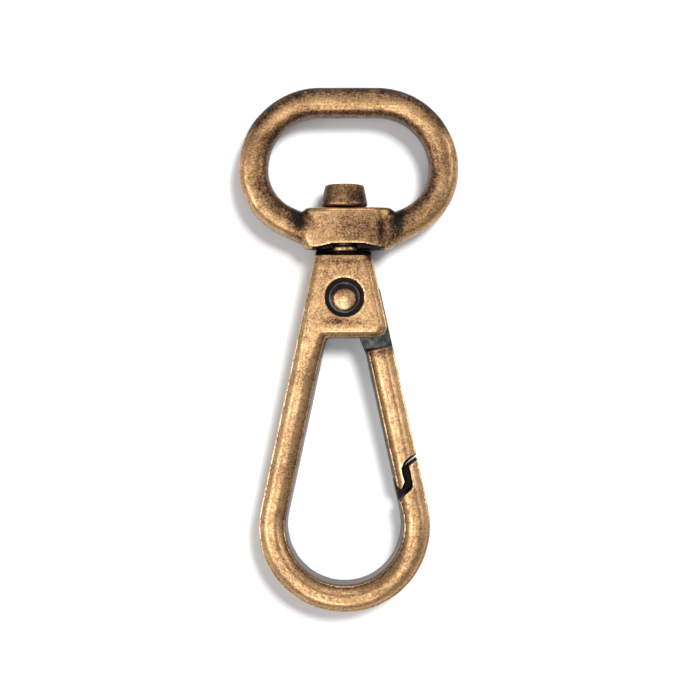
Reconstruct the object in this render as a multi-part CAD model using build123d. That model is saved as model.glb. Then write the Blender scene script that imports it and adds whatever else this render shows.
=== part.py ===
"""Swivel snap hook for narrow webbing, lying on its back, in millimetres.

X runs across the hook, Y runs along it with the strap loop at +Y, and Z points out of
the front face. The swivel axis is x = 0 at mid thickness, and the flat back is z = 0.
"""
from build123d import *
import os
from math import asin, atan2, cos, hypot, radians, sin, tan

# Hook body
body_thickness = 5.6
arm_crest_z = 4.7
axis_z = body_thickness / 2
shoulder_y = 11.22
left_shoulder_x = 3.58
right_shoulder_x = 3.42
bow_y = -21.05
bow_outer_r = 10.30
arm_width = 3.50
crown_rise = 1.2
outer_lean = 0.05
inner_lean = 0.45
back_round = 0.30
plate_top_y = 11.88
plate_top_drop = 1.4
plate_bottom_y = 1.41
plate_bevel = 0.60
cheek_inset = 0.10
cheek_corner_r = 1.8
arm_overlap = 1.0

# Low shelf on the nose, which the gate's tongue overlaps
shelf_z = 1.9
shelf_gap = 0.15

# Slot between the cheeks
slot_width = 2.6
slot_left_x = -2.9
slot_top_y = 9.17
slot_low_left_y = 3.4
slot_overrun = 0.2
bridge_low_y = 9.60

# Gate pivot and rivet
pivot_y = 6.27
rivet_r = 1.10
head_recess_r = 2.30
head_recess_depth = 0.70
head_r = 1.92
head_rim_height = 0.30
head_dome_height = 0.50
tail_recess_r = 1.75
tail_recess_depth = 0.50
tail_r = 1.60
tail_inset = 0.05
press_gap = 0.02
running_gap = 0.06

# Gate
gate_width = 3.40
gate_back_z = 0.10
gate_step_y = 0.25
gate_crest_z = 5.30
tongue_lean = (0.22, -0.25)
tongue_lean_z = (2.4, 4.7)
gate_eye_r = 2.60
tang_thickness = 2.4
tang_inset = 0.05
tang_overlap = 0.6
tang_shoulder_y = 7.30
tang_top = (1.40, 8.80)
heel_gap = 0.05
heel_y = (0.20, 1.20)

# Gate spring
wire_r = 0.15
coil_r = 1.42
coil_turns = 3
coil_pitch = 0.34
coil_lift = 0.24
pocket_r = 1.75
pocket_depth = 1.40
gate_leg_angle = -70.0
body_leg_angle = 250.0
gate_leg_length = 1.75
body_leg_length = 2.95
leg_groove = 0.44
leg_end_room = 0.1
leg_sweep_r = 5.0
leg_sweep_angles = (179, 215, 252)

# Swivel stud
shank_r = 1.10
neck_r = 1.68
neck_low_y = 11.75
neck_high_y = 12.50
neck_seat_r = 1.80
neck_seat_y = 11.70
neck_bevel = 0.18
head_low_y = 17.15
head_high_y = 19.80
stud_head_low_r = 2.80
stud_head_high_r = 2.32
stud_head_bevel = 0.25
stud_top_bevel = 0.20
stud_tail_r = 1.65
stud_tail_height = 0.45
stud_tail_room = 0.1

# Swivel loop: its bore is loose on the shank, so it hangs to one side by the play
swivel_play = 0.48
bore_gap = 0.04
loop_bar_width = 3.60
loop_bar_depth = 4.20
loop_bar_round = 1.5
loop_half_span = 11.40
loop_mid_y = 21.63
loop_top_r = 8.04
loop_low_r = 6.77
loop_low_slope = 25.0
bar_end_x = 3.5
hub_half_width = 5.4
hub_side_half_z = 1.2
hub_shoulder_half_width = 4.9
hub_shoulder_half_z = 2.0
hub_face_half_width = 2.7
hub_low_y = 11.98
hub_high_y = 17.00
hub_arch_half_width = 4.2
hub_arch_height = 0.72
hub_web_half_z = 1.3
neck_room_r = 2.20
hub_bevel = 0.4

# Far enough out to cut right through
clear_low_z = -1.0
clear_high_z = 9.0
clear_x = 12.0
window_x = 4.0

slot_low_z = axis_z - slot_width / 2
slot_high_z = axis_z + slot_width / 2
tang_low_z = axis_z - tang_thickness / 2
tang_high_z = axis_z + tang_thickness / 2
pocket_floor_z = tang_high_z - pocket_depth


def flank_angle(shoulder_x):
    """Angle from upright of the line from a shoulder that is tangent to the bow."""
    rise = shoulder_y - bow_y
    return asin(bow_outer_r / hypot(shoulder_x, rise)) - atan2(shoulder_x, rise)


left_angle = flank_angle(left_shoulder_x)
right_angle = flank_angle(right_shoulder_x)


def flank_point(side, inset, y):
    """Point at height y on the straight flank of one side, moved inwards by inset."""
    angle = left_angle if side < 0 else right_angle
    x = (bow_outer_r - inset) / cos(angle) - tan(angle) * (y - bow_y)
    return (side * x, y)


def bow_point(side, inset):
    """Point where the flank of one side, moved inwards by inset, meets the bow."""
    angle = left_angle if side < 0 else right_angle
    r = bow_outer_r - inset
    return (side * r * cos(angle), bow_y + r * sin(angle))


def polar(r, degrees_round, centre=(0.0, 0.0)):
    """Point at a radius and an angle from a centre."""
    angle = radians(degrees_round)
    return (centre[0] + r * cos(angle), centre[1] + r * sin(angle))


def slab(outline, low, high):
    """Closed outline as a solid between two heights."""
    return extrude(Pos(0, 0, low) * outline, high - low, dir=(0, 0, 1))


def polygon(*points):
    """Closed outline through points in the part's own axes."""
    return Polygon(*points, align=None)


def cylinder_z(centre, r, low, high):
    """Cylinder along Z between two heights."""
    base = (Align.CENTER, Align.CENTER, Align.MIN)
    return Pos(*centre, low) * Cylinder(r, high - low, align=base)


def cylinder_y(x, r, low, high):
    """Cylinder along Y between two heights, on a line at mid thickness."""
    base = (Align.CENTER, Align.CENTER, Align.MIN)
    return Pos(x, low, axis_z) * Rot(-90, 0, 0) * Cylinder(r, high - low, align=base)


def export(name, part):
    """Write one node."""
    part.label = name
    export_step(part, os.path.join("parts", name + ".step"))


def bar_section(plane, width, low, crest, left_lean, right_lean):
    """Section of a cast bar: flat back, leaning walls at -x and +x and a crowned front."""
    half = width / 2
    left = left_lean - half
    right = half - right_lean
    wall_z = crest - crown_rise
    section = make_face(
        Curve()
        + [
            Polyline(
                (left, wall_z),
                (-half, low + back_round),
                (-half + back_round, low),
                (half - back_round, low),
                (half, low + back_round),
                (right, wall_z),
            ),
            ThreePointArc((right, wall_z), ((left + right) / 2, crest), (left, wall_z)),
        ]
    )
    return plane * section


def flank_plane(side, inset, y):
    """Plane across a flank's bar: local x points across the bar and local y along Z."""
    angle = left_angle if side < 0 else right_angle
    along = Vector(-side * sin(angle), cos(angle), 0)
    across = Vector(cos(angle), side * sin(angle), 0)
    origin = (*flank_point(side, inset, y), 0)
    return Plane(origin=origin, x_dir=across, z_dir=across.cross(Vector(0, 0, 1)))


# The nose: an outer lip, the face behind which the gate's tongue sits, and a sloping seat
nose_profile = [
    flank_point(1, 0, -12.86),
    (7.60, -13.72),
    (7.78, -14.30),
    (8.10, -15.90),
    (7.98, -16.45),
    (7.10, -17.28),
    flank_point(1, arm_width, -18.30),
]

# The shelf's outline: its long edge slopes from the window up to the nose's lip
shelf_profile = [
    (3.0, -18.32),
    (7.60, -13.72),
    (9.00, -13.72),
    (9.00, -19.00),
    (3.0, -19.00),
]

# The gate's end: a shoulder, a hollow round the nose's lip and a pointed tongue
tongue_profile = [
    flank_point(1, 0, -12.20),
    (7.62, -12.86),
    (7.14, -13.36),
    (6.85, -13.95),
    (6.90, -14.61),
    (7.20, -15.64),
    (6.76, -16.59),
    (6.30, -16.30),
    flank_point(1, gate_width, -15.40),
]


# The coil ends where its second leg leaves along the tangent
total_turns = coil_turns + (gate_leg_angle - body_leg_angle) / 360 % 1


def helix_point(turns):
    """Point on the spring's coil after a number of turns from its gate leg."""
    angle = gate_leg_angle - 360 * turns
    base = pocket_floor_z + coil_lift
    return (*polar(coil_r, angle, (0, pivot_y)), base + coil_pitch * turns)


def leg_plane(turns, angle, sense):
    """Plane at one end of the coil: local z runs out along its leg, local y along Z."""
    tangent = Vector(*polar(1, angle + 90 * sense), 0)
    x_dir = Vector(0, 0, 1).cross(tangent)
    return Plane(origin=helix_point(turns), x_dir=x_dir, z_dir=tangent)


def leg(turns, angle, sense, length):
    """Straight leg of the spring."""
    base = (Align.CENTER, Align.CENTER, Align.MIN)
    return leg_plane(turns, angle, sense) * Cylinder(wire_r, length, align=base)


def leg_channel(turns, angle, sense, length, high):
    """Cutter for the channel that a leg lies in, open upwards to a height."""
    low = helix_point(turns)[2] - leg_groove / 2
    tangent = Vector(*polar(1, angle + 90 * sense), 0)
    floor = Vector(*helix_point(turns)[:2], low)
    plane = Plane(origin=floor, x_dir=tangent, z_dir=(0, 0, 1))
    base = (Align.MIN, Align.CENTER, Align.MIN)
    return plane * Box(length, leg_groove, high - low, align=base)


def make_plate():
    """Both cheeks before the slot is cut, with a bevelled front rim."""
    right_low = flank_point(1, cheek_inset, plate_bottom_y)
    right_high = flank_point(1, cheek_inset, plate_top_y)
    left_low = flank_point(-1, 0, plate_bottom_y)
    face = polygon(flank_point(-1, 0, plate_top_y), left_low, right_low, right_high)
    corner = face.vertices().sort_by_distance((*right_low, 0))[0]
    plate = slab(fillet(corner, cheek_corner_r), 0, body_thickness)
    rim = plate.faces().sort_by(Axis.Z)[-1].edges().sort_by(Axis.Y)[:-1]
    plate = chamfer(rim, plate_bevel)
    plate = chamfer(plate.faces().sort_by(Axis.Z)[0].edges(), back_round)
    top_bevel = polygon(
        (shoulder_y, body_thickness),
        (plate_top_y, body_thickness - plate_top_drop),
        (plate_top_y, body_thickness),
    )
    return plate - extrude(Plane.YZ * top_bevel, bow_outer_r, both=True)


def make_arm():
    """Left arm, which gets shallower towards the bow, with the bow and the nose's bar."""
    middle = arm_width / 2
    start = flank_plane(-1, middle, plate_bottom_y + arm_overlap)
    end = flank_plane(-1, middle, bow_point(-1, middle)[1])
    arm = loft(
        [
            bar_section(start, arm_width, 0, body_thickness, outer_lean, inner_lean),
            bar_section(end, arm_width, 0, arm_crest_z, outer_lean, inner_lean),
        ]
    )
    nose_y = nose_profile[0][1] + arm_overlap
    path = Wire(
        [
            ThreePointArc(
                bow_point(-1, middle),
                (0, bow_y - bow_outer_r + middle),
                bow_point(1, middle),
            ),
            Line(bow_point(1, middle), flank_point(1, middle, nose_y)),
        ]
    )
    bow = sweep(bar_section(end, arm_width, 0, arm_crest_z, outer_lean, inner_lean), path)
    opening = polygon(
        *nose_profile,
        (window_x, nose_profile[-1][1]),
        (window_x, nose_y + arm_overlap),
        (clear_x, nose_y + arm_overlap),
        (clear_x, nose_profile[0][1]),
    )
    bow -= slab(opening - polygon(*shelf_profile), clear_low_z, shelf_z)
    return arm + (bow - slab(opening, shelf_z, clear_high_z))


def slot_outline():
    """Room for the tang between the cheeks: open to the right and to the window."""
    right = bow_outer_r
    return polygon(
        (slot_left_x, slot_top_y),
        (slot_left_x, slot_low_left_y),
        flank_point(-1, arm_width, plate_bottom_y - slot_overrun),
        (right, plate_bottom_y - slot_overrun),
        (right, slot_top_y),
    )


def make_hook_body():
    """Cheeks, bridge, arm, bow and nose in one casting."""
    pivot = (0, pivot_y)
    body = make_plate() + make_arm()
    body -= slab(slot_outline(), slot_low_z, slot_high_z)
    body -= cylinder_y(0, stud_tail_r + stud_tail_room, slot_top_y - stud_tail_room, bridge_low_y)
    body -= cylinder_z(pivot, rivet_r + press_gap, clear_low_z, clear_high_z)
    body -= cylinder_z(pivot, head_recess_r, body_thickness - head_recess_depth, clear_high_z)
    body -= cylinder_z(pivot, tail_recess_r, clear_low_z, tail_recess_depth)
    body -= cylinder_y(0, shank_r + press_gap, slot_top_y, hub_high_y)
    body -= cylinder_y(0, neck_seat_r, neck_seat_y, hub_high_y)
    leg_length = body_leg_length + leg_end_room
    return body - leg_channel(total_turns, body_leg_angle, -1, leg_length, slot_high_z)


def make_gate_spring():
    """Torsion spring round the rivet, with one leg on the tang and one in the web."""
    height = coil_pitch * total_turns
    base = helix_point(0)
    coil = Pos(0, pivot_y, base[2]) * Helix(coil_pitch, height, coil_r, lefthand=True)
    start = coil @ 0
    wire_plane = Plane(origin=start, z_dir=coil % 0)
    turned_coil = sweep(wire_plane * Circle(wire_r), coil, is_frenet=True)
    turned_coil = turned_coil.rotate(Axis((0, pivot_y, 0), (0, 0, 1)), gate_leg_angle)
    gate_leg = leg(0, gate_leg_angle, 1, gate_leg_length)
    body_leg = leg(total_turns, body_leg_angle, -1, body_leg_length)
    return turned_coil + gate_leg + body_leg


def beyond_tongue():
    """Cutter for the gate's end, whose wall leans out towards the nose below the crest."""
    bow_low_y = bow_y - bow_outer_r
    beyond = polygon(
        *tongue_profile,
        (window_x, tongue_profile[-1][1]),
        (window_x, bow_low_y),
        (clear_x, bow_low_y),
        (clear_x, tongue_profile[0][1]),
    )
    low, high = tongue_lean_z
    moved = Pos(*tongue_lean, 0) * beyond
    way = Vector(-tongue_lean[0], -tongue_lean[1], high - low)
    leaning = extrude(Pos(0, 0, low) * moved, way.length, dir=way.normalized())
    return slab(moved, clear_low_z, low) + leaning + slab(beyond, high, clear_high_z)


def make_gate():
    """Thin tang with its eye, a step, the crowned bar and the tongue, in one casting."""
    middle = gate_width / 2
    pivot = (0, pivot_y)
    top = flank_plane(1, middle, gate_step_y)
    bottom = flank_plane(1, middle, bow_point(1, middle)[1])
    bar = loft(
        [
            bar_section(top, gate_width, gate_back_z, gate_crest_z, inner_lean, outer_lean),
            bar_section(bottom, gate_width, gate_back_z, arm_crest_z, inner_lean, outer_lean),
        ]
    )
    bar -= beyond_tongue()
    bar -= slab(
        Pos(-shelf_gap, shelf_gap, 0) * polygon(*shelf_profile), clear_low_z, shelf_z + shelf_gap
    )
    tang = polygon(
        flank_point(1, gate_width, gate_step_y - tang_overlap),
        flank_point(1, tang_inset, gate_step_y - tang_overlap),
        flank_point(1, tang_inset, tang_shoulder_y),
        tang_top,
        pivot,
    )
    heel_x = slot_left_x + heel_gap
    heel = polygon(
        (heel_x, pivot_y + heel_y[0]),
        (0, pivot_y + heel_y[0]),
        (0, pivot_y + heel_y[1]),
        (heel_x, pivot_y + heel_y[1]),
    )
    outline = tang + heel + Pos(*pivot) * Circle(gate_eye_r)
    gate = bar + slab(outline, tang_low_z, tang_high_z)
    gate -= cylinder_z(pivot, rivet_r + running_gap, clear_low_z, clear_high_z)
    gate -= cylinder_z(pivot, pocket_r, pocket_floor_z, clear_high_z)
    leg_room = polygon(pivot, *[polar(leg_sweep_r, angle, pivot) for angle in leg_sweep_angles])
    gate -= slab(leg_room, pocket_floor_z, clear_high_z)
    leg_length = gate_leg_length + leg_end_room
    return gate - leg_channel(0, gate_leg_angle, 1, leg_length, clear_high_z)


def make_gate_rivet():
    """Rivet with a domed head in the front recess and a flat peened tail behind."""
    floor = body_thickness - head_recess_depth + press_gap
    shank = cylinder_z((0, pivot_y), rivet_r, tail_recess_depth - press_gap, floor)
    rim = cylinder_z((0, pivot_y), head_r, floor, floor + head_rim_height)
    dome_r = (head_r**2 + head_dome_height**2) / (2 * head_dome_height)
    dome = Pos(0, pivot_y, floor + head_rim_height + head_dome_height - dome_r) * Sphere(dome_r)
    dome &= cylinder_z((0, pivot_y), head_r, floor + head_rim_height, clear_high_z)
    tail = cylinder_z((0, pivot_y), tail_r, tail_inset, tail_recess_depth - press_gap)
    return shank + rim + dome + tail


def make_swivel_stud():
    """Turned stud: tapered head, shank through the loop, neck bead and peened tail."""
    tail_low = bridge_low_y - press_gap - stud_tail_height
    profile = [
        (0, tail_low),
        (stud_tail_r, tail_low),
        (stud_tail_r, bridge_low_y - press_gap),
        (shank_r, bridge_low_y - press_gap),
        (shank_r, neck_low_y),
        (neck_r - neck_bevel, neck_low_y),
        (neck_r, neck_low_y + neck_bevel),
        (neck_r, neck_high_y - neck_bevel),
        (neck_r - neck_bevel, neck_high_y),
        (shank_r, neck_high_y),
        (shank_r, head_low_y),
        (stud_head_low_r - stud_head_bevel, head_low_y),
        (stud_head_low_r, head_low_y + stud_head_bevel),
        (stud_head_high_r, head_high_y - stud_top_bevel),
        (stud_head_high_r - stud_top_bevel, head_high_y),
        (0, head_high_y),
    ]
    upright = Plane(origin=(0, 0, axis_z), x_dir=(1, 0, 0), z_dir=(0, 0, 1))
    return revolve(upright * polygon(*profile), Axis((0, 0, axis_z), (0, 1, 0)))


def mirrored(points):
    """The same points on the other side of the YZ plane."""
    return [(-x, y) for x, y in points]


def make_hub():
    """Hub of the loop: bevelled corners, an arch in its front and back, and room for the neck."""
    corner = [
        (hub_half_width, hub_side_half_z),
        (hub_shoulder_half_width, hub_shoulder_half_z),
        (hub_face_half_width, axis_z),
    ]
    right = [(x, -z) for x, z in corner[::-1]] + corner
    left = mirrored(right)[::-1]
    across = Plane(origin=(0, hub_low_y, axis_z), x_dir=(1, 0, 0), z_dir=(0, 1, 0))
    hub = extrude(across * polygon(*right, *left), hub_high_y - hub_low_y, dir=(0, 1, 0))
    for end in (0, -1):
        hub = chamfer(hub.faces().sort_by(Axis.Y)[end].edges(), hub_bevel)
    arch_r = (hub_arch_half_width**2 + hub_arch_height**2) / (2 * hub_arch_height)
    arch_top_y = hub_low_y + hub_arch_height
    arch_middle = (0, arch_top_y - arch_r)
    hub -= cylinder_z(arch_middle, arch_r, axis_z + hub_web_half_z, clear_high_z)
    hub -= cylinder_z(arch_middle, arch_r, clear_low_z, axis_z - hub_web_half_z)
    return hub - cylinder_y(0, neck_room_r, shoulder_y, arch_top_y)


def make_swivel_loop():
    """Oval strap loop with a boxy hub that is bored for the stud."""
    mid = loop_mid_y
    top_x = loop_half_span - loop_top_r
    low_x = loop_half_span - loop_low_r
    side = (loop_half_span, mid)
    top = (top_x, mid + loop_top_r)
    top_middle = polar(loop_top_r, 45, (top_x, mid))
    low = polar(loop_low_r, loop_low_slope - 90, (low_x, mid))
    low_middle = polar(loop_low_r, (loop_low_slope - 90) / 2, (low_x, mid))
    run = low[0] - bar_end_x
    hub_end = (bar_end_x, low[1] - run * tan(radians(loop_low_slope)))
    path = Wire(
        [
            Line(hub_end, low),
            ThreePointArc(low, low_middle, side),
            ThreePointArc(side, top_middle, top),
            Line(top, *mirrored([top])),
            ThreePointArc(*mirrored([top, top_middle, side])),
            ThreePointArc(*mirrored([side, low_middle, low])),
            Line(*mirrored([low, hub_end])),
        ]
    )
    plane = Plane(origin=path @ 0, x_dir=(0, 0, 1), z_dir=path % 0)
    section = RectangleRounded(loop_bar_depth, loop_bar_width, loop_bar_round)
    bar = Pos(0, 0, axis_z) * sweep(plane * section, path)
    loop = Pos(swivel_play, 0, 0) * (bar + make_hub())
    bore_r = shank_r + swivel_play + bore_gap
    return loop - cylinder_y(swivel_play, bore_r, shoulder_y, head_high_y)


os.makedirs("parts", exist_ok=True)
export("hook_body", make_hook_body())
export("gate", make_gate())
export("gate_rivet", make_gate_rivet())
export("gate_spring", make_gate_spring())
export("swivel_stud", make_swivel_stud())
export("swivel_loop", make_swivel_loop())
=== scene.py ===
from math import atan2, asin, cos, hypot, pi, radians, sin, tan

import bpy
import numpy as np
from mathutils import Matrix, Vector


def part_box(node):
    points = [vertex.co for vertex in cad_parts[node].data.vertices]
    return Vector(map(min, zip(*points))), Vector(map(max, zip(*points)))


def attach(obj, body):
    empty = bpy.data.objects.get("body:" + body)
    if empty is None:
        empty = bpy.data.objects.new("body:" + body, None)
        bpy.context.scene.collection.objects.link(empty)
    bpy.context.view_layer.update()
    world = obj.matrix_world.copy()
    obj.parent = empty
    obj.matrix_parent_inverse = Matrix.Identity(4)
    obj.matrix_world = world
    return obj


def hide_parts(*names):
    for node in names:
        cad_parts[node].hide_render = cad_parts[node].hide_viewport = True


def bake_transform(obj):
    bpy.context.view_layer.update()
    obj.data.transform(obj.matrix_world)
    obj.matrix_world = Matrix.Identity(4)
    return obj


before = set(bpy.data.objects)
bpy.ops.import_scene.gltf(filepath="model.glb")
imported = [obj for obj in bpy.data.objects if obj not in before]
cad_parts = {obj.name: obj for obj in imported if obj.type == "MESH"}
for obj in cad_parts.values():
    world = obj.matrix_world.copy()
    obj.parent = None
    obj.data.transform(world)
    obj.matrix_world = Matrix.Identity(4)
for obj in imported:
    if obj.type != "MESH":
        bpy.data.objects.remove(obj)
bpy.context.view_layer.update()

MM = 0.001

# ---------------------------------------------------------------- driving dimensions, mm

body_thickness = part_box("hook_body")[1].z / MM
plate_top_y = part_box("hook_body")[1].y / MM
plate_top_drop = 1.4
axis_z = body_thickness / 2
shoulder_y = 11.22
left_shoulder_x = 3.58
right_shoulder_x = 3.42
bow_y = -21.05
bow_outer_r = 10.30
arm_width = 3.50
arm_crest_z = 4.70
outer_lean = 0.05
inner_lean = 0.32
plate_lean = 0.08
bar_rise = 0.64
bar_reach = 1.38
plate_rise = 0.42
plate_reach = 0.88
crown_height = 0.10
plate_bottom_y = 1.41
cheek_inset = 0.10
cheek_corner_r = 1.8
pivot_y = 6.27
shelf_z = 1.9
shelf_gap = 0.15
rim_width = 0.20

slot_half = 1.3
slot_left_x = -2.9
slot_top_y = 9.17
slot_low_left_y = 3.4
bridge_low_y = 9.60

rivet_r = 1.10
head_recess_r = 2.30
head_recess_depth = 0.70
head_r = 1.92
tail_recess_r = 1.75
tail_recess_depth = 0.50
tail_r = 1.60

gate_width = 3.40
gate_reach = 1.34
gate_back_z = 0.10
gate_step_y = 0.25
gate_step_crest_z = 5.30
gate_eye_r = 2.60
tongue_lean = (0.22, -0.25)
tongue_lean_z = (2.4, 4.7)
tang_half = 1.2
heel_x = -2.85
heel_height = 1.0

wire_r = 0.15
coil_r = 1.42
coil_pitch = 0.34
pocket_r = 1.75
pocket_floor_z = axis_z + tang_half - 1.40
gate_leg_angle = -70.0
body_leg_angle = 250.0
coil_turns = 3 + (gate_leg_angle - body_leg_angle) / 360 % 1
gate_leg_length = 1.75
body_leg_length = 2.95

shank_r = 1.10
shank_mid_y = 14.0
shank_half_length = 4.9
stud_tail_r = 1.65
stud_tail_y = 9.355
stud_tail_half = 0.225
neck_r = 1.68
neck_y = 12.13
neck_half = 0.37
neck_seat_r = 1.80
neck_seat_y = 11.70
head_low_y = 17.15
head_high_y = 19.80
head_low_r = 2.80
head_high_r = 2.32
head_bevel = 0.25

swivel_play = 0.48
loop_half_width = 1.80
loop_half_depth = 2.10
loop_half_span = 11.40
loop_squareness = 2.6
loop_mid_y = 21.63
loop_top_r = 8.04
loop_low_r = 6.77
loop_low_slope = radians(25)
hub_low_y = 11.98
hub_high_y = 17.00
hub_arch_y = 12.70
hub_arch_half_flat = 2.3
hub_arch_slope = 2.6
hub_web_half_z = 1.3
hub_bevels = [(5.4, 1.2), (4.9, 2.0), (2.7, axis_z)]
neck_room_r = 1.79

coarse = 1.0

# ---------------------------------------------------------------- fields


def smooth_max(a, b, k):
    """Larger of two fields, rounded over about k where they meet: cuts one by the other."""
    h = np.clip(k - np.abs(a - b), 0, None) / k
    return np.maximum(a, b) + h * h * k / 4


def smooth_min(a, b, k):
    """Smaller of two fields, filleted over about k where they meet: joins them."""
    return -smooth_max(-a, -b, k)


def ease(t):
    """0 to 1 with soft ends."""
    t = np.clip(t, 0, 1)
    return t * t * (3 - 2 * t)


def fade(value, zero_at, one_at):
    """0 to 1 with soft ends as a value goes from one number to another."""
    return ease((value - zero_at) / (one_at - zero_at))


def polygon(points, x, y):
    """Signed distance to a closed outline in the plane."""
    near = np.inf
    inside = False
    for (ax, ay), (bx, by) in zip(points, points[1:] + points[:1]):
        ex, ey = bx - ax, by - ay
        px, py = x - ax, y - ay
        t = np.clip((px * ex + py * ey) / (ex * ex + ey * ey), 0, 1)
        near = np.minimum(near, np.hypot(px - t * ex, py - t * ey))
        crosses = (ay > y) != (by > y)
        inside = inside ^ (crosses & (px < ex * py / (ey if ey else 1e-9)))
    return np.where(inside, -near, near)


def round_corner(a, b, r):
    """Depth inside two edges with a rounded corner between them."""
    corner = r - np.hypot(r - a, r - b)
    return np.where((a < r) & (b < r), corner, np.minimum(a, b))


def along_y(x, z, r, middle_x=0.0):
    """Cylinder along Y at mid thickness."""
    return np.hypot(x - middle_x, z - axis_z) - r


def upright(x, y, r, centre=(0.0, pivot_y)):
    """Cylinder along Z."""
    return np.hypot(x - centre[0], y - centre[1]) - r


def wobble(x, y, z, seed, size, height):
    """Slow unevenness of a casting, from nothing to height."""
    rng = np.random.default_rng(seed)
    total = 0
    for _ in range(5):
        kx, ky, kz = rng.normal(0, 2 * pi / size, 3)
        total = total + np.sin(kx * x + ky * y + kz * z + rng.uniform(0, 2 * pi))
    return height * (0.5 + total / 10)


def flank_angle(shoulder_x):
    """Angle from upright of the line from a top corner that is tangent to the bow."""
    rise = shoulder_y - bow_y
    return asin(bow_outer_r / hypot(shoulder_x, rise)) - atan2(shoulder_x, rise)


left_angle = flank_angle(left_shoulder_x)
right_angle = flank_angle(right_shoulder_x)


def flank_point(side, inset, y):
    """Point at height y on a flank, moved inwards by inset."""
    angle = left_angle if side < 0 else right_angle
    return (side * ((bow_outer_r - inset) / cos(angle) - tan(angle) * (y - bow_y)), y)


def pear_depth(x, y):
    """Depth inside the pear outline."""
    angle = np.where(x < 0, left_angle, right_angle)
    c, s = np.cos(angle), np.sin(angle)
    along = (y - bow_y) * c - np.abs(x) * s
    across = np.abs(x) * c + (y - bow_y) * s
    return bow_outer_r - np.where(along > 0, across, np.hypot(x, y - bow_y))


def cast_bar(outer, inner, z, low, crest, rise, reach, lean_out, lean_in):
    """Cast form between two outlines: leaning walls, crowned front and flat back.

    outer and inner are the depths inside the two outlines. The front falls by rise from
    the crest over the last reach of depth, and ends in a narrow rim.
    """
    lift = np.clip((z - low) / (crest - low), 0, 1)
    wall = np.maximum(lean_out * lift - outer, lean_in * lift - inner)
    lean_at_rim = 0.8
    depth = np.minimum(outer - lean_at_rim * lean_out, inner - lean_at_rim * lean_in) - rim_width
    run = reach - rim_width
    fall = 1 - np.clip(depth / run, 0, 1)
    crown = 1 - np.clip(depth / (2 * run), 0, 1)
    slope = 2 * rise * fall / run * (depth > 0)
    front = z - crest + rise * fall * fall + crown_height * crown * crown
    form = smooth_max(wall, front / np.sqrt(1 + slope * slope), 0.16)
    return smooth_max(form, low - z, 0.28)


nose_profile = [
    flank_point(1, 0, -12.86),
    (7.60, -13.72),
    (7.78, -14.30),
    (8.10, -15.90),
    (7.98, -16.45),
    (7.10, -17.28),
    flank_point(1, arm_width, -18.30),
]
tongue_profile = [
    flank_point(1, 0, -12.20),
    (7.62, -12.86),
    (7.14, -13.36),
    (6.85, -13.95),
    (6.90, -14.61),
    (7.20, -15.64),
    (6.76, -16.59),
    (6.30, -16.30),
    flank_point(1, gate_width, -15.40),
]
shelf_profile = [(3.0, -18.32), (7.60, -13.72), (9.0, -13.72), (9.0, -19.0), (3.0, -19.0)]
slot_profile = [
    (slot_left_x, slot_top_y),
    (slot_left_x, slot_low_left_y),
    flank_point(-1, arm_width, plate_bottom_y - 0.2),
    (bow_outer_r, plate_bottom_y - 0.2),
    (bow_outer_r, slot_top_y),
]


def helix_point(turns):
    """Point on the spring's coil after a number of turns from its gate leg."""
    angle = radians(gate_leg_angle - 360 * turns)
    z = pocket_floor_z + 1.6 * wire_r + coil_pitch * turns
    return (coil_r * cos(angle), pivot_y + coil_r * sin(angle), z)


def leg_channel(x, y, z, turns, degrees_round, sense, length, high):
    """Channel that a leg of the spring lies in, open upwards to a height."""
    px, py, pz = helix_point(turns)
    angle = radians(degrees_round + 90 * sense)
    along = (x - px) * cos(angle) + (y - py) * sin(angle)
    across = (y - py) * cos(angle) - (x - px) * sin(angle)
    ends = np.maximum(-along, along - length)
    depth = np.maximum(pz - 0.22 - z, z - high)
    return np.maximum(np.maximum(ends, np.abs(across) - 0.22), depth)


def before_nose(x, y):
    """Distance to the room in front of the nose."""
    return polygon(nose_profile + [(4, -18.3), (4, -8.5), (12, -8.5), (12, -12.86)], x, y)


def beyond_tongue(x, y, z):
    """Distance to the room past the gate's end, whose wall leans out below the crest."""
    low_z, high_z = tongue_lean_z
    lean = np.clip((high_z - z) / (high_z - low_z), 0, 1)
    low = bow_y - bow_outer_r
    outline = tongue_profile + [(4, -15.4), (4, low), (12, low), (12, -12.2)]
    return polygon(outline, x - tongue_lean[0] * lean, y - tongue_lean[1] * lean)


def hook_crest(y):
    """Height of the hook's crest, which gets lower from the plate to the bow."""
    fall = np.clip((plate_bottom_y + 1 - y) / (plate_bottom_y + 1 + 19.3), 0, 1)
    return body_thickness - (body_thickness - arm_crest_z) * fall


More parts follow.
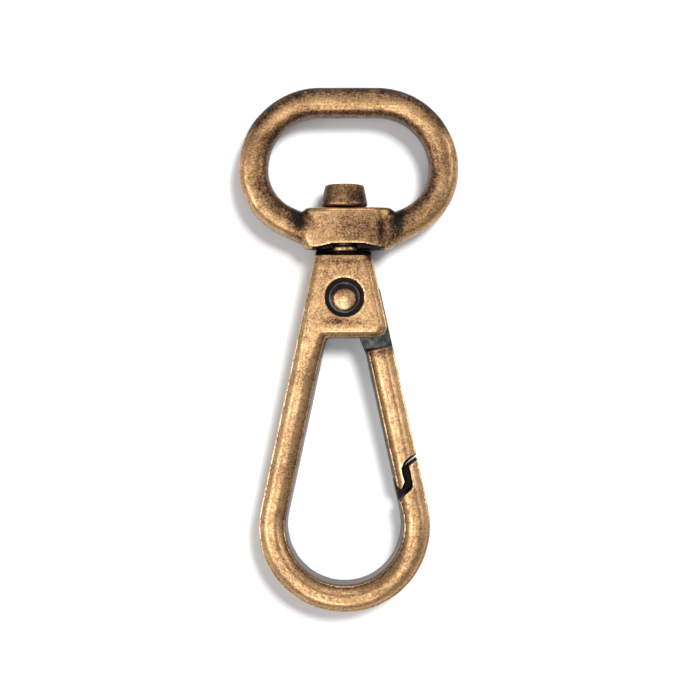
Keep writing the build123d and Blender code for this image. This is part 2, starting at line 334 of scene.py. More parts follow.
def hook_field(x, y, z):
    """Cheeks, bridge, arm, bow and nose in one casting."""
    outer = pear_depth(x, y)
    ring = arm_width - outer
    ring = np.where(x > 0, np.minimum(ring, -9.0 - y), ring)
    cheek = x * cos(right_angle) + (y - bow_y) * sin(right_angle)
    cheek = bow_outer_r - cheek_inset - cheek
    plate = round_corner(cheek, y - plate_bottom_y, cheek_corner_r)
    inner = smooth_max(ring, plate, 0.5)
    flat = fade(y, -2.5, 3.0)
    rise = bar_rise - (bar_rise - plate_rise) * flat
    reach = bar_reach - (bar_reach - plate_reach) * flat
    lean = inner_lean - (inner_lean - plate_lean) * flat
    form = cast_bar(outer, inner, z, 0, hook_crest(y), rise, reach, outer_lean, lean)
    form = form + wobble(x, y, z, seed=3, size=7.0, height=0.05)
    top_run = plate_top_y - shoulder_y
    top = (y - shoulder_y) * plate_top_drop + (z - body_thickness) * top_run
    top = smooth_max(top / hypot(plate_top_drop, top_run), y - plate_top_y, 0.2)
    form = smooth_max(form, top, 0.16)
    slot = np.maximum(polygon(slot_profile, x, y), np.abs(z - axis_z) - slot_half)
    form = smooth_max(form, -slot, 0.08)
    over_shelf = np.minimum(shelf_z - z, -polygon(shelf_profile, x, y))
    form = smooth_max(form, -np.maximum(before_nose(x, y), over_shelf), 0.12)
    form = smooth_max(form, -upright(x, y, rivet_r + 0.02), 0.05)
    recess = np.maximum(upright(x, y, head_recess_r), body_thickness - head_recess_depth - z)
    form = smooth_max(form, -recess, 0.12)
    tail = np.maximum(upright(x, y, tail_recess_r), z - tail_recess_depth)
    form = smooth_max(form, -tail, 0.08)
    stud = np.maximum(along_y(x, z, shank_r + 0.02), bridge_low_y - 0.5 - y)
    form = np.maximum(form, -stud)
    form = np.maximum(form, -np.maximum(along_y(x, z, neck_seat_r), neck_seat_y - y))
    tail_room = np.maximum(stud_tail_y - stud_tail_half - 0.06 - y, y - bridge_low_y)
    pocket = np.maximum(along_y(x, z, stud_tail_r + 0.1), tail_room)
    form = np.maximum(form, -pocket)
    channel = leg_channel(
        x, y, z, coil_turns, body_leg_angle, -1, body_leg_length + 0.1, axis_z + slot_half
    )
    return np.maximum(form, -channel)


def gate_field(x, y, z):
    """Tang with its eye, a step, the crowned bar and the tongue, in one casting."""
    c, s = cos(right_angle), sin(right_angle)
    outer = bow_outer_r - (x * c + (y - bow_y) * s)
    inner = gate_width - outer
    step_x = flank_point(1, gate_width / 2, gate_step_y)[0]
    along = (y - gate_step_y) * c - (x - step_x) * s
    crest = gate_step_crest_z - (gate_step_crest_z - arm_crest_z) * np.clip(-along / 20, 0, 1)
    bar = cast_bar(outer, inner, z, gate_back_z, crest, bar_rise, gate_reach, outer_lean, inner_lean)
    bar = bar + wobble(x, y, z, seed=5, size=6.0, height=0.04)
    bar = smooth_max(bar, along, 0.22)
    bar = smooth_max(bar, -beyond_tongue(x, y, z), 0.12)
    shelf = polygon(shelf_profile, x + shelf_gap, y - shelf_gap)
    bar = smooth_max(bar, -np.maximum(shelf, z - shelf_z - shelf_gap), 0.08)
    outline = [
        flank_point(1, gate_width, gate_step_y - 0.6),
        flank_point(1, 0.05, gate_step_y - 0.6),
        flank_point(1, 0.05, 7.30),
        (1.40, 8.80),
        (0, pivot_y),
    ]
    heel_low = pivot_y + 0.2
    heel_high = heel_low + heel_height
    heel = [(heel_x, heel_low), (0, heel_low), (0, heel_high), (heel_x, heel_high)]
    tang = np.minimum(polygon(outline, x, y), upright(x, y, gate_eye_r))
    tang = np.minimum(tang, polygon(heel, x, y))
    tang = smooth_max(tang, np.abs(z - axis_z) - tang_half, 0.2)
    form = smooth_min(bar, tang, 0.1)
    form = smooth_max(form, -upright(x, y, rivet_r + 0.06), 0.05)
    pocket = np.maximum(upright(x, y, pocket_r), pocket_floor_z - z)
    form = np.maximum(form, -pocket)
    corners = [(5 * cos(radians(a)), pivot_y + 5 * sin(radians(a))) for a in (179, 215, 252)]
    sweep_room = polygon([(0, pivot_y)] + corners, x, y)
    form = np.maximum(form, -np.maximum(sweep_room, pocket_floor_z - z))
    channel = leg_channel(x, y, z, 0, gate_leg_angle, 1, gate_leg_length + 0.1, 9)
    return np.maximum(form, -channel)


def loop_line(x, y):
    """Signed distance outwards from the loop's centre line; x is from the loop's middle."""
    ax = np.abs(x)
    up = y - loop_mid_y
    top_x = loop_half_span - loop_top_r
    low_x = loop_half_span - loop_low_r
    top = np.where(ax < top_x, up, np.hypot(ax - top_x, up)) - loop_top_r
    c, s = cos(loop_low_slope), sin(loop_low_slope)
    straight = (ax - low_x) * s - up * c - loop_low_r
    bend = np.hypot(ax - low_x, up) - loop_low_r
    low = np.where(-(ax - low_x) * c - up * s > 0, straight, bend)
    return np.where(up > 0, top, low)


def loop_field(x, y, z):
    """Strap loop with a bevelled hub that is arched below and bored for the stud."""
    x = x - swivel_play
    ax = np.abs(x)
    az = np.abs(z - axis_z)
    power = loop_squareness
    across = np.abs(loop_line(x, y)) / loop_half_width
    section = (across**power + (az / loop_half_depth) ** power) ** (1 / power)
    bar = (section - 1) * loop_half_width
    bar = smooth_max(bar, np.where(y < loop_mid_y, 2.6 - ax, -9), 0.2)
    hub = np.maximum(ax - hub_bevels[0][0], az - axis_z)
    for (x0, z0), (x1, z1) in zip(hub_bevels, hub_bevels[1:]):
        length = hypot(x1 - x0, z1 - z0)
        facet = ((ax - x0) * (z1 - z0) - (az - z0) * (x1 - x0)) / length
        hub = smooth_max(hub, facet, 0.35)
    mid_y = (hub_low_y + hub_high_y) / 2
    hub = smooth_max(hub, np.abs(y - mid_y) - (hub_high_y - hub_low_y) / 2, 0.6)
    form = smooth_min(bar, hub, 0.5) + wobble(x, y, z, seed=9, size=6.0, height=0.05)
    form = smooth_max(form, hub_low_y - y, 0.3)
    above = y - hub_arch_y
    haunch = (ax - hub_arch_half_flat + hub_arch_slope * above) / hypot(1, hub_arch_slope)
    arch = np.maximum(smooth_max(above, haunch, 0.6), hub_web_half_z - az)
    form = smooth_max(form, -arch, 0.16)
    room = along_y(x, z, neck_room_r, -swivel_play)
    form = smooth_max(form, -np.maximum(room, above), 0.06)
    bore = np.maximum(along_y(x, z, shank_r + swivel_play + 0.04), y - head_high_y)
    return smooth_max(form, -bore, 0.1)


def stud_field(x, y, z):
    """Turned stud with a tapered head, shank, neck bead and peened tail."""
    r = along_y(x, z, 0)
    shank = np.maximum(r - shank_r, np.abs(y - shank_mid_y) - shank_half_length)
    tail = smooth_max(r - stud_tail_r, np.abs(y - stud_tail_y) - stud_tail_half, 0.15)
    neck = smooth_max(r - neck_r, np.abs(y - neck_y) - neck_half, 0.3)
    bevel_y = head_low_y + head_bevel
    taper = (head_low_r - head_high_r) / (head_high_y - bevel_y)
    cone = (r - head_low_r + taper * (y - bevel_y)) / hypot(1, taper)
    cone = smooth_max(cone, y - head_high_y, 0.22)
    base = (r - head_low_r + (bevel_y - y)) / hypot(1, 1)
    head = smooth_max(smooth_max(cone, base, 0.12), head_low_y - y, 0.1)
    head = head + wobble(x, y, z, seed=12, size=2.5, height=0.03)
    return np.minimum.reduce([shank, tail, neck, head])


def rivet_field(x, y, z):
    """Rivet with a domed head in the recess and a flat peened tail behind."""
    r = upright(x, y, 0)
    floor = body_thickness - head_recess_depth + 0.02
    shank = np.maximum(r - rivet_r, np.maximum(0.4 - z, z - 5.0))
    dome_height = 0.5
    dome_top_z = floor + 0.8
    dome_r = (head_r**2 + dome_height**2) / (2 * dome_height)
    dome = np.hypot(r, z - (dome_top_z - dome_r)) - dome_r
    rim = smooth_max(r - head_r, floor - z, 0.08)
    head = smooth_max(rim, dome, 0.10)
    head = head + wobble(x, y, z, seed=15, size=1.6, height=0.03)
    tail = smooth_max(r - tail_r, np.maximum(0.05 - z, z - 0.48), 0.12)
    return np.minimum.reduce([shank, head, tail])


# ---------------------------------------------------------------- meshes from fields

CORNERS = np.array([(a, b, c) for a in (0, 1) for b in (0, 1) for c in (0, 1)])
EDGES = [
    (p, q) for p in range(8) for q in range(p + 1, 8) if np.abs(CORNERS[p] - CORNERS[q]).sum() == 1
]


def gradient(field, points, reach=0.01):
    """Slope of a field at points."""
    slope = np.empty_like(points)
    for axis in range(3):
        shift = np.zeros(3)
        shift[axis] = reach
        slope[:, axis] = field(*(points + shift).T) - field(*(points - shift).T)
    return slope / (2 * reach)


def surface(field, low, high, step):
    """Points and quads of a field's zero surface, one point per crossed cell."""
    low = np.array(low, float) - 1.5 * step
    count = np.ceil((np.array(high) + 1.5 * step - low) / step).astype(int) + 1
    axes = [low[i] + step * np.arange(count[i]) for i in range(3)]
    x, y, z = np.meshgrid(*axes, indexing="ij", sparse=True)
    value = np.broadcast_to(field(x, y, z), count).astype(np.float32)
    inside = value < 0
    total = np.zeros(count - 1, np.int8)
    for a, b, c in CORNERS:
        total += inside[a : count[0] - 1 + a, b : count[1] - 1 + b, c : count[2] - 1 + c]
    cells = np.argwhere((total > 0) & (total < 8))
    index = np.full(count - 1, -1, np.int32)
    index[tuple(cells.T)] = np.arange(len(cells))
    at_corner = np.stack([value[tuple((cells + k).T)] for k in CORNERS], axis=1)
    place = np.zeros((len(cells), 3))
    number = np.zeros((len(cells), 1))
    for p, q in EDGES:
        fp, fq = at_corner[:, p], at_corner[:, q]
        hit = (fp < 0) != (fq < 0)
        t = np.where(hit, fp / np.where(hit, fp - fq, 1), 0)
        place += hit[:, None] * (CORNERS[p] + t[:, None] * (CORNERS[q] - CORNERS[p]))
        number += hit[:, None]
    points = low + step * (cells + place / number)
    quads = []
    for axis in range(3):
        b, c = (axis + 1) % 3, (axis + 2) % 3
        first = np.take(inside, np.arange(count[axis] - 1), axis)
        second = np.take(inside, np.arange(1, count[axis]), axis)
        edge = np.argwhere(first != second)
        out = first[tuple(edge.T)]
        ring = []
        for db, dc in ((-1, -1), (0, -1), (0, 0), (-1, 0)):
            cell = edge.copy()
            cell[:, b] += db
            cell[:, c] += dc
            ring.append(index[tuple(cell.T)])
        ring = np.stack(ring, axis=1)
        ring[~out] = ring[~out][:, ::-1]
        quads.append(ring)
    for _ in range(4):
        off = field(*points.T)
        slope = gradient(field, points)
        length = np.maximum((slope**2).sum(1), 0.05)
        move = -slope * (off / length)[:, None]
        size = np.linalg.norm(move, axis=1, keepdims=True)
        points = points + move * np.minimum(1, 0.3 * step / np.maximum(size, 1e-9))
    return points, np.concatenate(quads)


def set_values(mesh, name, values):
    """Stores one number per vertex under a name that materials read."""
    layer = mesh.attributes.new(name, "FLOAT", "POINT")
    layer.data.foreach_set("value", np.asarray(values, np.float32))


def new_mesh(name, points, faces):
    """Object at the origin with smooth shading, from points in mm."""
    mesh = bpy.data.meshes.new(name)
    faces = faces.tolist() if isinstance(faces, np.ndarray) else faces
    mesh.from_pydata((np.asarray(points) * MM).tolist(), [], faces)
    mesh.polygons.foreach_set("use_smooth", [True] * len(mesh.polygons))
    piece = bpy.data.objects.new(name, mesh)
    bpy.context.collection.objects.link(piece)
    return piece


def casting(name, field, node, step, patina_and_shading, bare):
    """Mesh of a field inside a CAD node's box, with the numbers its material reads."""
    low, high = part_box(node)
    points, quads = surface(field, np.array(low) / MM, np.array(high) / MM, step * coarse)
    slope = gradient(field, points, 0.03)
    normal = slope / np.maximum(np.linalg.norm(slope, axis=1, keepdims=True), 1e-6)
    cavity = 0
    edge = 0
    for reach in (0.2, 0.45, 0.9):
        ahead = field(*(points + reach * normal).T) / reach
        cavity = cavity + np.clip(1 - ahead, 0, 1) / 3
    for reach in (0.12, 0.3):
        behind = -field(*(points - reach * normal).T) / reach
        edge = edge + np.clip(3 * (1 - behind) - 0.1, 0, 1) / 2
    piece = new_mesh(name, points, quads)
    set_values(piece.data, "cavity", cavity)
    set_values(piece.data, "edge", edge)
    set_values(piece.data, "patina_and_shading", np.clip(patina_and_shading(points, normal), -0.3, 1))
    set_values(piece.data, "bare", np.clip(bare(points, normal), 0, 1))
    return piece


def blob(points, centre, size, amount):
    """Soft patch round a point."""
    off = (points - np.array(centre)) / np.array(size)
    return amount * np.exp(-(off**2).sum(1))


# ---------------------------------------------------------------- materials


def add(tree, kind, settings=None, **inputs):
    """New shader node; inputs are values or other nodes' outputs."""
    node = tree.nodes.new("ShaderNode" + kind)
    for key, value in (settings or {}).items():
        setattr(node, key, value)
    for key, value in inputs.items():
        key = int(key[1:]) if key[0] == "i" and key[1:].isdigit() else key.replace("_", " ")
        if isinstance(value, bpy.types.NodeSocket):
            tree.links.new(value, node.inputs[key])
        else:
            node.inputs[key].default_value = value
    return node


def maths(tree, operation, a, b=0.0, c=0.0, clamp=False):
    """Output of a Math node."""
    settings = {"operation": operation, "use_clamp": clamp}
    return add(tree, "Math", settings, i0=a, i1=b, i2=c).outputs[0]


def noise(tree, coords, scale, detail=3.0, rough=0.55):
    """Noise value with features of about 1/scale metres."""
    node = add(tree, "TexNoise", Vector=coords, Scale=scale, Detail=detail, Roughness=rough)
    return node.outputs["Factor" if "Factor" in node.outputs else "Fac"]


def ramp(tree, value, stops):
    """Colour ramp through (place, colour) stops."""
    node = add(tree, "ValToRGB", Fac=value)
    while len(node.color_ramp.elements) < len(stops):
        node.color_ramp.elements.new(0.5)
    for element, (place, colour) in zip(node.color_ramp.elements, stops):
        element.position = place
        element.color = (*colour, 1)
    return node.outputs[0]


def mix(tree, factor, a, b):
    """Colour between two colours."""
    node = tree.nodes.new("ShaderNodeMix")
    node.data_type = "RGBA"
    for socket, value in ((0, factor), (6, a), (7, b)):
        if isinstance(value, bpy.types.NodeSocket):
            tree.links.new(value, node.inputs[socket])
        else:
            node.inputs[socket].default_value = value if socket == 0 else (*value, 1)
    return node.outputs[2]


def antique_metal(name, stops, film, speck_size, relief, seed, patchy=0.5):
    """Rubbed antique plating: metal on the high places, dark patina in the low ones.

    film is the colour of walls that were never rubbed, and patchy how uneven it is;
    relief is how far the rest was rubbed.
    """
    material = bpy.data.materials.new(name)
    material.use_nodes = True
    tree = material.node_tree
    tree.nodes.clear()
    output = add(tree, "OutputMaterial")
    shader = add(tree, "BsdfPrincipled", Metallic=1.0)
    tree.links.new(shader.outputs[0], output.inputs[0])
    coords = add(tree, "TexCoord").outputs["Object"]
    coords = add(tree, "Mapping", Vector=coords, Location=(seed, 0.3 * seed, 0.7 * seed)).outputs[0]
    broad = noise(tree, coords, 260, 3)
    mottle = noise(tree, coords, 1100, 4, 0.6)
    speck = noise(tree, coords, 1 / speck_size, 3, 0.62)
    fine = noise(tree, coords, 2.3 / speck_size, 2, 0.5)
    cavity = add(tree, "Attribute", {"attribute_name": "cavity"}).outputs["Fac"]
    edge = add(tree, "Attribute", {"attribute_name": "edge"}).outputs["Fac"]
    patina_and_shading = add(tree, "Attribute", {"attribute_name": "patina_and_shading"}).outputs["Fac"]
    bare = add(tree, "Attribute", {"attribute_name": "bare"}).outputs["Fac"]

    # patina_and_shading holds real patina together with painted shade and painted light set per
    # piece, so rubbed carries painted light and shade too.
    rubbed = maths(tree, "MULTIPLY_ADD", edge, 0.42, relief)
    rubbed = maths(tree, "MULTIPLY_ADD", cavity, -0.75, rubbed)
    rubbed = maths(tree, "MULTIPLY_ADD", patina_and_shading, -0.85, rubbed)
    for layer, weight in ((broad, 0.45), (mottle, 0.55), (speck, 1.15), (fine, 0.45)):
        centred = maths(tree, "SUBTRACT", layer, 0.5)
        rubbed = maths(tree, "MULTIPLY_ADD", centred, weight, rubbed)
    rubbed = maths(tree, "ADD", rubbed, 0.0, clamp=True)
    colour = ramp(tree, rubbed, stops)
    film_tone = maths(tree, "MULTIPLY_ADD", mottle, 2 * patchy, 0.9 - 1.2 * patchy, clamp=True)
    film_colour = mix(tree, film_tone, tuple(0.3 * c for c in film), film)
    shader_colour = mix(tree, bare, colour, film_colour)
    tree.links.new(shader_colour, shader.inputs["Base Color"])

    rough = maths(tree, "MULTIPLY_ADD", rubbed, -0.20, 0.44)
    rough = maths(tree, "MULTIPLY_ADD", mottle, 0.10, rough)
    tree.links.new(rough, shader.inputs["Roughness"])

    height = maths(tree, "MULTIPLY_ADD", mottle, 2.0, speck)
    height = maths(tree, "MULTIPLY_ADD", fine, 0.4, height)
    bump = add(tree, "Bump", Strength=1.0, Distance=1.2e-5, Height=height)
    tree.links.new(bump.outputs[0], shader.inputs["Normal"])
    return material


brass_stops = [
    (0.0, (0.018, 0.013, 0.012)),
    (0.16, (0.070, 0.038, 0.024)),
    (0.34, (0.20, 0.108, 0.052)),
    (0.56, (0.38, 0.225, 0.108)),
    (0.80, (0.58, 0.365, 0.190)),
    (1.0, (0.69, 0.50, 0.345)),
]
wall_film = (0.200, 0.168, 0.158)
loop_film = (0.095, 0.082, 0.075)
# Tang grey, kept dark partly as painted shade under the plate; it is also the grey of the rivet
# head's rim.
tang_film_and_shade = (0.112, 0.112, 0.114)
speck = 0.00024
brass = antique_metal("antique_brass", brass_stops, wall_film, speck, relief=0.60, seed=0.0)
# patchy=2.4 makes the gate's grey tang and walls strongly uneven: partly real streaks, partly a
# painted sheen.
gate_brass = antique_metal(
    "gate_brass", brass_stops, tang_film_and_shade, speck, relief=0.62, seed=0.013, patchy=2.4
)
loop_brass = antique_metal("loop_brass", brass_stops, loop_film, speck, relief=0.52, seed=0.027)
stud_brass = antique_metal("stud_brass", brass_stops, wall_film, 0.00022, relief=0.42, seed=0.041)
rivet_brass = antique_metal("rivet_brass", brass_stops, tang_film_and_shade, speck, relief=0.62, seed=0.055)
spring_stops = [
    (0.0, (0.05, 0.045, 0.04)),
    (0.4, (0.20, 0.19, 0.18)),
    (1.0, (0.55, 0.54, 0.52)),
]
steel = antique_metal("spring_steel", spring_stops, wall_film, 0.00012, relief=0.6, seed=0.07)


# ---------------------------------------------------------------- pieces


def place(piece, body, slot, node, material):
    """Stands for a CAD node, rides on its body and takes a material."""
    piece.data.materials.append(material)
    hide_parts(node)
    if body:
        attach(piece, body)


def upright_wall(n):
    """1 where the surface is upright, 0 where it faces forwards or back."""
    return fade(np.abs(n[:, 2]), 0.45, 0.20)


def unrubbed_line(u, n):
    """Dark line on the window's wall just under the front rim."""
    return fade(u, 2.4, 2.8) * upright_wall(n)


def painted_bar_shading(u):
    """Painted shade on a bar's crest, dimming its highlight, and painted light on its outer slope.
    """
    return fade(u, 1.0, 1.5) * fade(u, 2.3, 1.8) * 0.08 - fade(u, 1.0, 0.6) * 0.07


def inner_edge(u, y):
    """Patina along the front's inner edge in the bow, which nothing rubs."""
    return fade(u, 2.75, 3.05) * fade(y, -16, -19) * 0.25


def hook_patina_and_shading(p, n):
    """Patina round the rivet, real dark spots on the plate and patina on the nose's lip, darker
    towards the plate's top, with painted light and shade: a painted highlight low on the plate,
    painted shade at the plate's top under the hub (partly patina), on faces turned down and on the
    nose's shelf in the gap at the tongue, and painted shading across the bars.
    """
    x, y, z = p.T
    u = pear_depth(x, y)
    front = fade(n[:, 2], 0.2, 0.7)
    arms = fade(y, 0.5, -2.0)
    across = (painted_bar_shading(u) + inner_edge(u, y)) * arms
    field = fade(u, 1.3, 1.8) * fade(y - plate_bottom_y, 1.0, 1.6) * 0.08
    upper = fade(y, 7.0, 10.0) * 0.08
    patches = blob(p, (-0.7, 3.5, 5.6), (1.3, 0.45, 1), 0.45)
    # Painted highlight: a lighter band low on the plate.
    patches += blob(p, (0.5, 2.3, 5.6), (3.4, 0.5, 1), -0.16)
    patches += blob(p, (3.1, 11.1, 5.6), (0.5, 0.5, 1), 0.9)
    # Band below the hub: partly patina, partly painted shadow cast by the hub.
    patches += blob(p, (-0.5, 10.55, 5.6), (3.0, 0.30, 1), 0.30)
    recess = np.hypot(x, y - pivot_y) < head_recess_r + 0.06
    recess = recess & (z > 1) & (z < body_thickness - 0.06)
    # The plate's top end below the hub is painted black: patina and painted shade.
    top_end = fade(y - shoulder_y, 0.02, 0.12)
    inner_rim = unrubbed_line(u, n) * (y < 2)
    # Nose: patina on its lip, and painted shade on the shelf and walls in the gap at the tongue.
    nose = fade(before_nose(x, y), 0.10, 0.02) * (x > 3) * (y < -8)
    nose = nose * (1 - fade(u, 3.0, 3.2) * upright_wall(n))
    # Painted shade on faces turned down.
    under = ease(-n[:, 2]) * 0.15
    dark = np.maximum.reduce([1.0 * recess, top_end, inner_rim, nose])
    return (across + field + upper) * front + patches + under + dark


def hook_bare(p, n):
    """Inner walls of the window, and the slot."""
    x, y, z = p.T
    u = pear_depth(x, y)
    inward = fade(u, 1.9, 2.4) * upright_wall(n)
    inward = inward * (y < plate_bottom_y + 0.6) * fade(hook_crest(y) - z, 1.5, 1.9)
    slot = (polygon(slot_profile, x, y) < 0.05) & (np.abs(z - axis_z) < slot_half + 0.05)
    return np.maximum(inward, 1.0 * slot)


def gate_depth(p):
    """Depth inwards from the gate's outer side."""
    return bow_outer_r - (p[:, 0] * cos(right_angle) + (p[:, 1] - bow_y) * sin(right_angle))


def gate_patina_and_shading(p, n):
    """Patina on the gate's inner slope and painted shading across its bar, the gate darker towards
    its step, and painted shade on the tongue's end in the gap at the nose.
    """
    x, y, z = p.T
    u = gate_depth(p)
    inner_slope = fade(u, 1.9, 2.7) * 0.10
    inner_rim = fade(u, 2.8, 3.0) * 0.25
    across = painted_bar_shading(u) + inner_slope + inner_rim
    end = fade(y, -1.2, 0.4) * 0.5
    # Painted shade on the tongue's end, in the gap at the nose.
    tip = fade(beyond_tongue(x, y, z), 0.10, 0.02)
    return np.maximum.reduce([across + end, unrubbed_line(u, n), tip])


def gate_bare(p, n):
    """The gate's wall in the window, and its thin tang."""
    y, z = p[:, 1], p[:, 2]
    inward = fade(gate_depth(p), 1.9, 2.4) * upright_wall(n)
    inward = inward * fade(gate_step_crest_z - z, 2.0, 2.5) * (y > -15.5)
    tang = fade(y - gate_step_y, -0.10, 0.05)
    return np.maximum(inward, tang)


def loop_patina_and_shading(p, n):
    """Dark roots of the bars, the inner slope and marks on the hub, and black under the hub's arch
    that is patina and painted shade.
    """
    x, y, z = p[:, 0] - swivel_play, p[:, 1], p[:, 2]
    off = loop_line(x, y)
    side = fade(y, 27.5, 25.0) * fade(np.abs(x), 4.0, 6.0)
    left = fade(off, 1.0, -1.4) * 0.36 * (x < 0)
    right = (np.exp(-(((off - 0.1) / 0.8) ** 2)) * 0.16 + fade(off, -0.3, -1.0) * 0.34) * (x > 0)
    slopes = fade(off, 0.2, 1.0) * 0.45 + fade(off, -0.5, -1.4) * 0.30
    bars = side * (left + right) + (1 - side) * slopes * (y > 20)
    line = np.exp(-(((off - 1.45) / 0.09) ** 2)) * fade(y, 22, 25) * 0.35
    roots = np.exp(-(((np.abs(x) - 5.9) / 0.9) ** 2) - ((y - 15.0) / 2.0) ** 2) * 0.55
    mark = blob(p, (4.3, 14.4, 5.0), (0.40, 1.9, 1.5), 0.50)
    hub = blob(p, (1.1, 14.6, 5.6), (2.3, 1.9, 1.5), 0.30)
    hub += blob(p, (5.2, 14.4, 4.0), (1.2, 2.2, 2.5), 0.16)
    # Under the hub's arch: black for patina and painted shade.
    low = (np.abs(x) < 4.3) & (y < hub_arch_y + 0.06)
    room = along_y(x, z, neck_room_r + 0.15, -swivel_play) < 0
    arch = 1.0 * (low & (room | (n[:, 1] < -0.5) | (np.abs(z - axis_z) < hub_web_half_z + 0.15)))
    return bars + line + roots + mark + hub + arch


def loop_bare(p, n):
    """Inner walls of the loop, and its bore."""
    x, y, z = p[:, 0] - swivel_play, p[:, 1], p[:, 2]
    off = loop_line(x, y)
    inner = fade(off, -1.3, -1.7) * fade(np.abs(n[:, 2]), 0.5, 0.2) * (np.abs(x) > 5.2)
    bore = (along_y(x, z, shank_r + swivel_play + 0.1) < 0) & (y < head_high_y)
    return np.maximum(inner * 0.7, 1.0 * bore)


def stud_patina_and_shading(p, n):
    """Patina on the head's sides and right half, and dark on the neck's ends: patina and painted
    shade in the gap under the hub.
    """
    x, y, z = p.T
    head_side = blob(p, (1.3, 18.3, 4.8), (1.1, 1.1, 1.6), 0.28)
    sides = fade(np.abs(x), 1.7, 2.5) * 0.30
    # Neck's ends: patina and painted shade in the gap under the hub.
    neck = fade(np.abs(x), 1.1, 1.6) * (y < 13) * 0.7
    return head_side + sides + neck


def stud_bare(p, n):
    """The shank and the tail."""
    return 1.0 * ((p[:, 1] < 17.0) & (p[:, 1] > 12.6)) + 1.0 * (p[:, 1] < 11.7)


def rivet_patina_and_shading(p, n):
    """Patina round the dome's foot, and painted shade on its upper side."""
    x, y, z = p[:, 0], p[:, 1] - pivot_y, p[:, 2]
    foot = fade(np.hypot(x, y + 0.15), 1.05, 1.55) * (z > 3) * 1.2
    # The blob on the dome's upper side is painted shade.
    return foot + blob(p, (0, pivot_y + 1.1, 5.6), (1.3, 0.6, 1), 0.5)


def rivet_bare(p, n):
    """Rim of the head."""
    r = np.hypot(p[:, 0], p[:, 1] - pivot_y)
    return fade(r, 1.62, 1.72) * (p[:, 2] > 3)


hook = casting("hook_casting", hook_field, "hook_body", 0.135, hook_patina_and_shading, hook_bare)
place(hook, "hook", "antique_brass", "hook_body", brass)
gate = casting("gate_casting", gate_field, "gate", 0.105, gate_patina_and_shading, gate_bare)
place(gate, "gate", "antique_brass", "gate", gate_brass)
loop = casting("loop_casting", loop_field, "swivel_loop", 0.135, loop_patina_and_shading, loop_bare)
place(loop, "loop", "antique_brass", "swivel_loop", loop_brass)
stud = casting("stud_turning", stud_field, "swivel_stud", 0.09, stud_patina_and_shading, stud_bare)
place(stud, "hook", "stud_brass", "swivel_stud", stud_brass)
rivet = casting("rivet_turning", rivet_field, "gate_rivet", 0.07, rivet_patina_and_shading, rivet_bare)
place(rivet, "hook", "rivet_brass", "gate_rivet", rivet_brass)


def spring_path():
    """Wire's centre line: leg on the gate, coil, leg in the hook's web."""
    first = np.array(helix_point(0))
    last = np.array(helix_point(coil_turns))
    out = radians(gate_leg_angle + 90)
    back = radians(body_leg_angle - 90)
    out_way = np.array((cos(out), sin(out), 0))
    back_way = np.array((cos(back), sin(back), 0))
    legs = [first + out_way * gate_leg_length * t for t in (1, 0.75, 0.5, 0.25)]
    coil = [np.array(helix_point(coil_turns * t)) for t in np.linspace(0, 1, 150)]
    tail = [last + back_way * body_leg_length * t for t in (0.2, 0.4, 0.6, 0.8, 1)]
    return np.array(legs + coil + tail)


def wire(name, path, r, sides=12):
    """Round wire along a path, with bevelled ends."""
    along = np.gradient(path, axis=0)
    along /= np.linalg.norm(along, axis=1, keepdims=True)
    side = np.cross(along, (0, 0, 1.0))
    side /= np.linalg.norm(side, axis=1, keepdims=True)
    up = np.cross(side, along)
    last = len(path) - 1
    rings = [(0, -0.04, 0.55)] + [(k, 0, 1) for k in range(last + 1)] + [(last, 0.04, 0.55)]
    points = []
    for k, nudge, scale in rings:
        for t in np.linspace(0, 2 * pi, sides, endpoint=False):
            offset = side[k] * cos(t) + up[k] * sin(t)
            points.append(path[k] + along[k] * nudge + offset * r * scale)
    faces = [tuple(range(sides))[::-1]]
    for k in range(len(rings) - 1):
        for j in range(sides):
            a, b = k * sides + j, k * sides + (j + 1) % sides
            faces.append((a, b, b + sides, a + sides))
    faces.append(tuple(range(len(points) - sides, len(points))))
    piece = new_mesh(name, points, faces)
    for key in ("cavity", "edge", "patina_and_shading", "bare"):
        set_values(piece.data, key, np.zeros(len(points)))
    return piece


spring = wire("spring_wire", spring_path(), wire_r)
place(spring, None, "spring_steel", "gate_spring", steel)
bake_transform(spring)

# ---------------------------------------------------------------- floor, light and camera


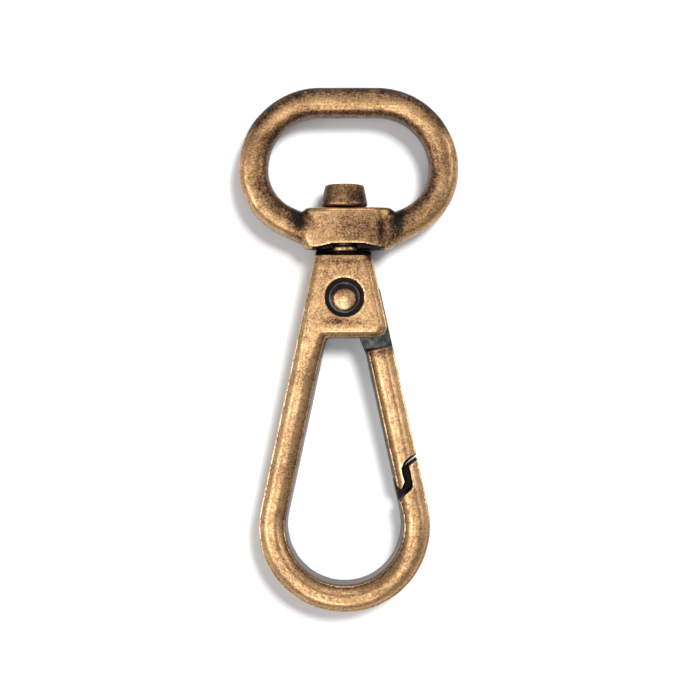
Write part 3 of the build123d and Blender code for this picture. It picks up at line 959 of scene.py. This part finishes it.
def floor(half_width, grey):
    """Large pale sheet under the hook."""
    mesh = bpy.data.meshes.new("floor")
    corners = [(x * half_width, y * half_width, 0) for x, y in ((-1, -1), (1, -1), (1, 1), (-1, 1))]
    mesh.from_pydata(corners, [], [(0, 1, 2, 3)])
    piece = bpy.data.objects.new("floor", mesh)
    bpy.context.collection.objects.link(piece)
    material = bpy.data.materials.new("pale_floor")
    material.use_nodes = True
    shader = material.node_tree.nodes["Principled BSDF"]
    shader.inputs["Base Color"].default_value = (grey, grey, grey, 1)
    shader.inputs["Roughness"].default_value = 0.9
    shader.inputs["Specular IOR Level"].default_value = 0.2
    mesh.materials.append(material)


def softbox(name, place, size, power, mirrored=True):
    """Square area light aimed at the middle of the hook, seen in the metal if mirrored."""
    data = bpy.data.lights.new(name, "AREA")
    data.size = size
    data.energy = power
    light = bpy.data.objects.new(name, data)
    light.location = place
    light.rotation_euler = (-Vector(place)).to_track_quat("-Z", "Y").to_euler()
    light.visible_glossy = mirrored
    bpy.context.collection.objects.link(light)


floor(3.0, 0.39)
softbox("key", (0.30, 0.36, 0.82), size=0.27, power=22.0, mirrored=False)
softbox("left", (-0.71, -0.15, 0.65), size=0.50, power=4.7)
softbox("right", (0.75, 0.20, 0.60), size=0.50, power=2.5)
softbox("far", (0.05, 0.75, 0.60), size=0.50, power=2.2)
softbox("near", (-0.10, -0.60, 0.70), size=0.40, power=3.5)
softbox("overhead", (-0.10, -0.12, 1.20), size=0.50, power=3.4)
world = bpy.data.worlds.new("studio")
world.use_nodes = True
background = world.node_tree.nodes["Background"]
background.inputs["Color"].default_value = (1, 1, 1, 1)
background.inputs["Strength"].default_value = 0.42
scene = bpy.context.scene
scene.world = world
scene.view_settings.view_transform = "Standard"

camera_data = bpy.data.cameras.new("camera")
camera_data.lens = 85
camera_data.sensor_width = 36
camera_data.clip_start = 0.01
camera = bpy.data.objects.new("camera", camera_data)
bpy.context.collection.objects.link(camera)
frame_width = 0.084
distance = frame_width * camera_data.lens / camera_data.sensor_width
camera_x = 0.66
camera_y = 0.03
camera.location = (camera_x * MM, camera_y * MM, axis_z * MM + distance)
scene.camera = camera

bpy.context.view_layer.update()
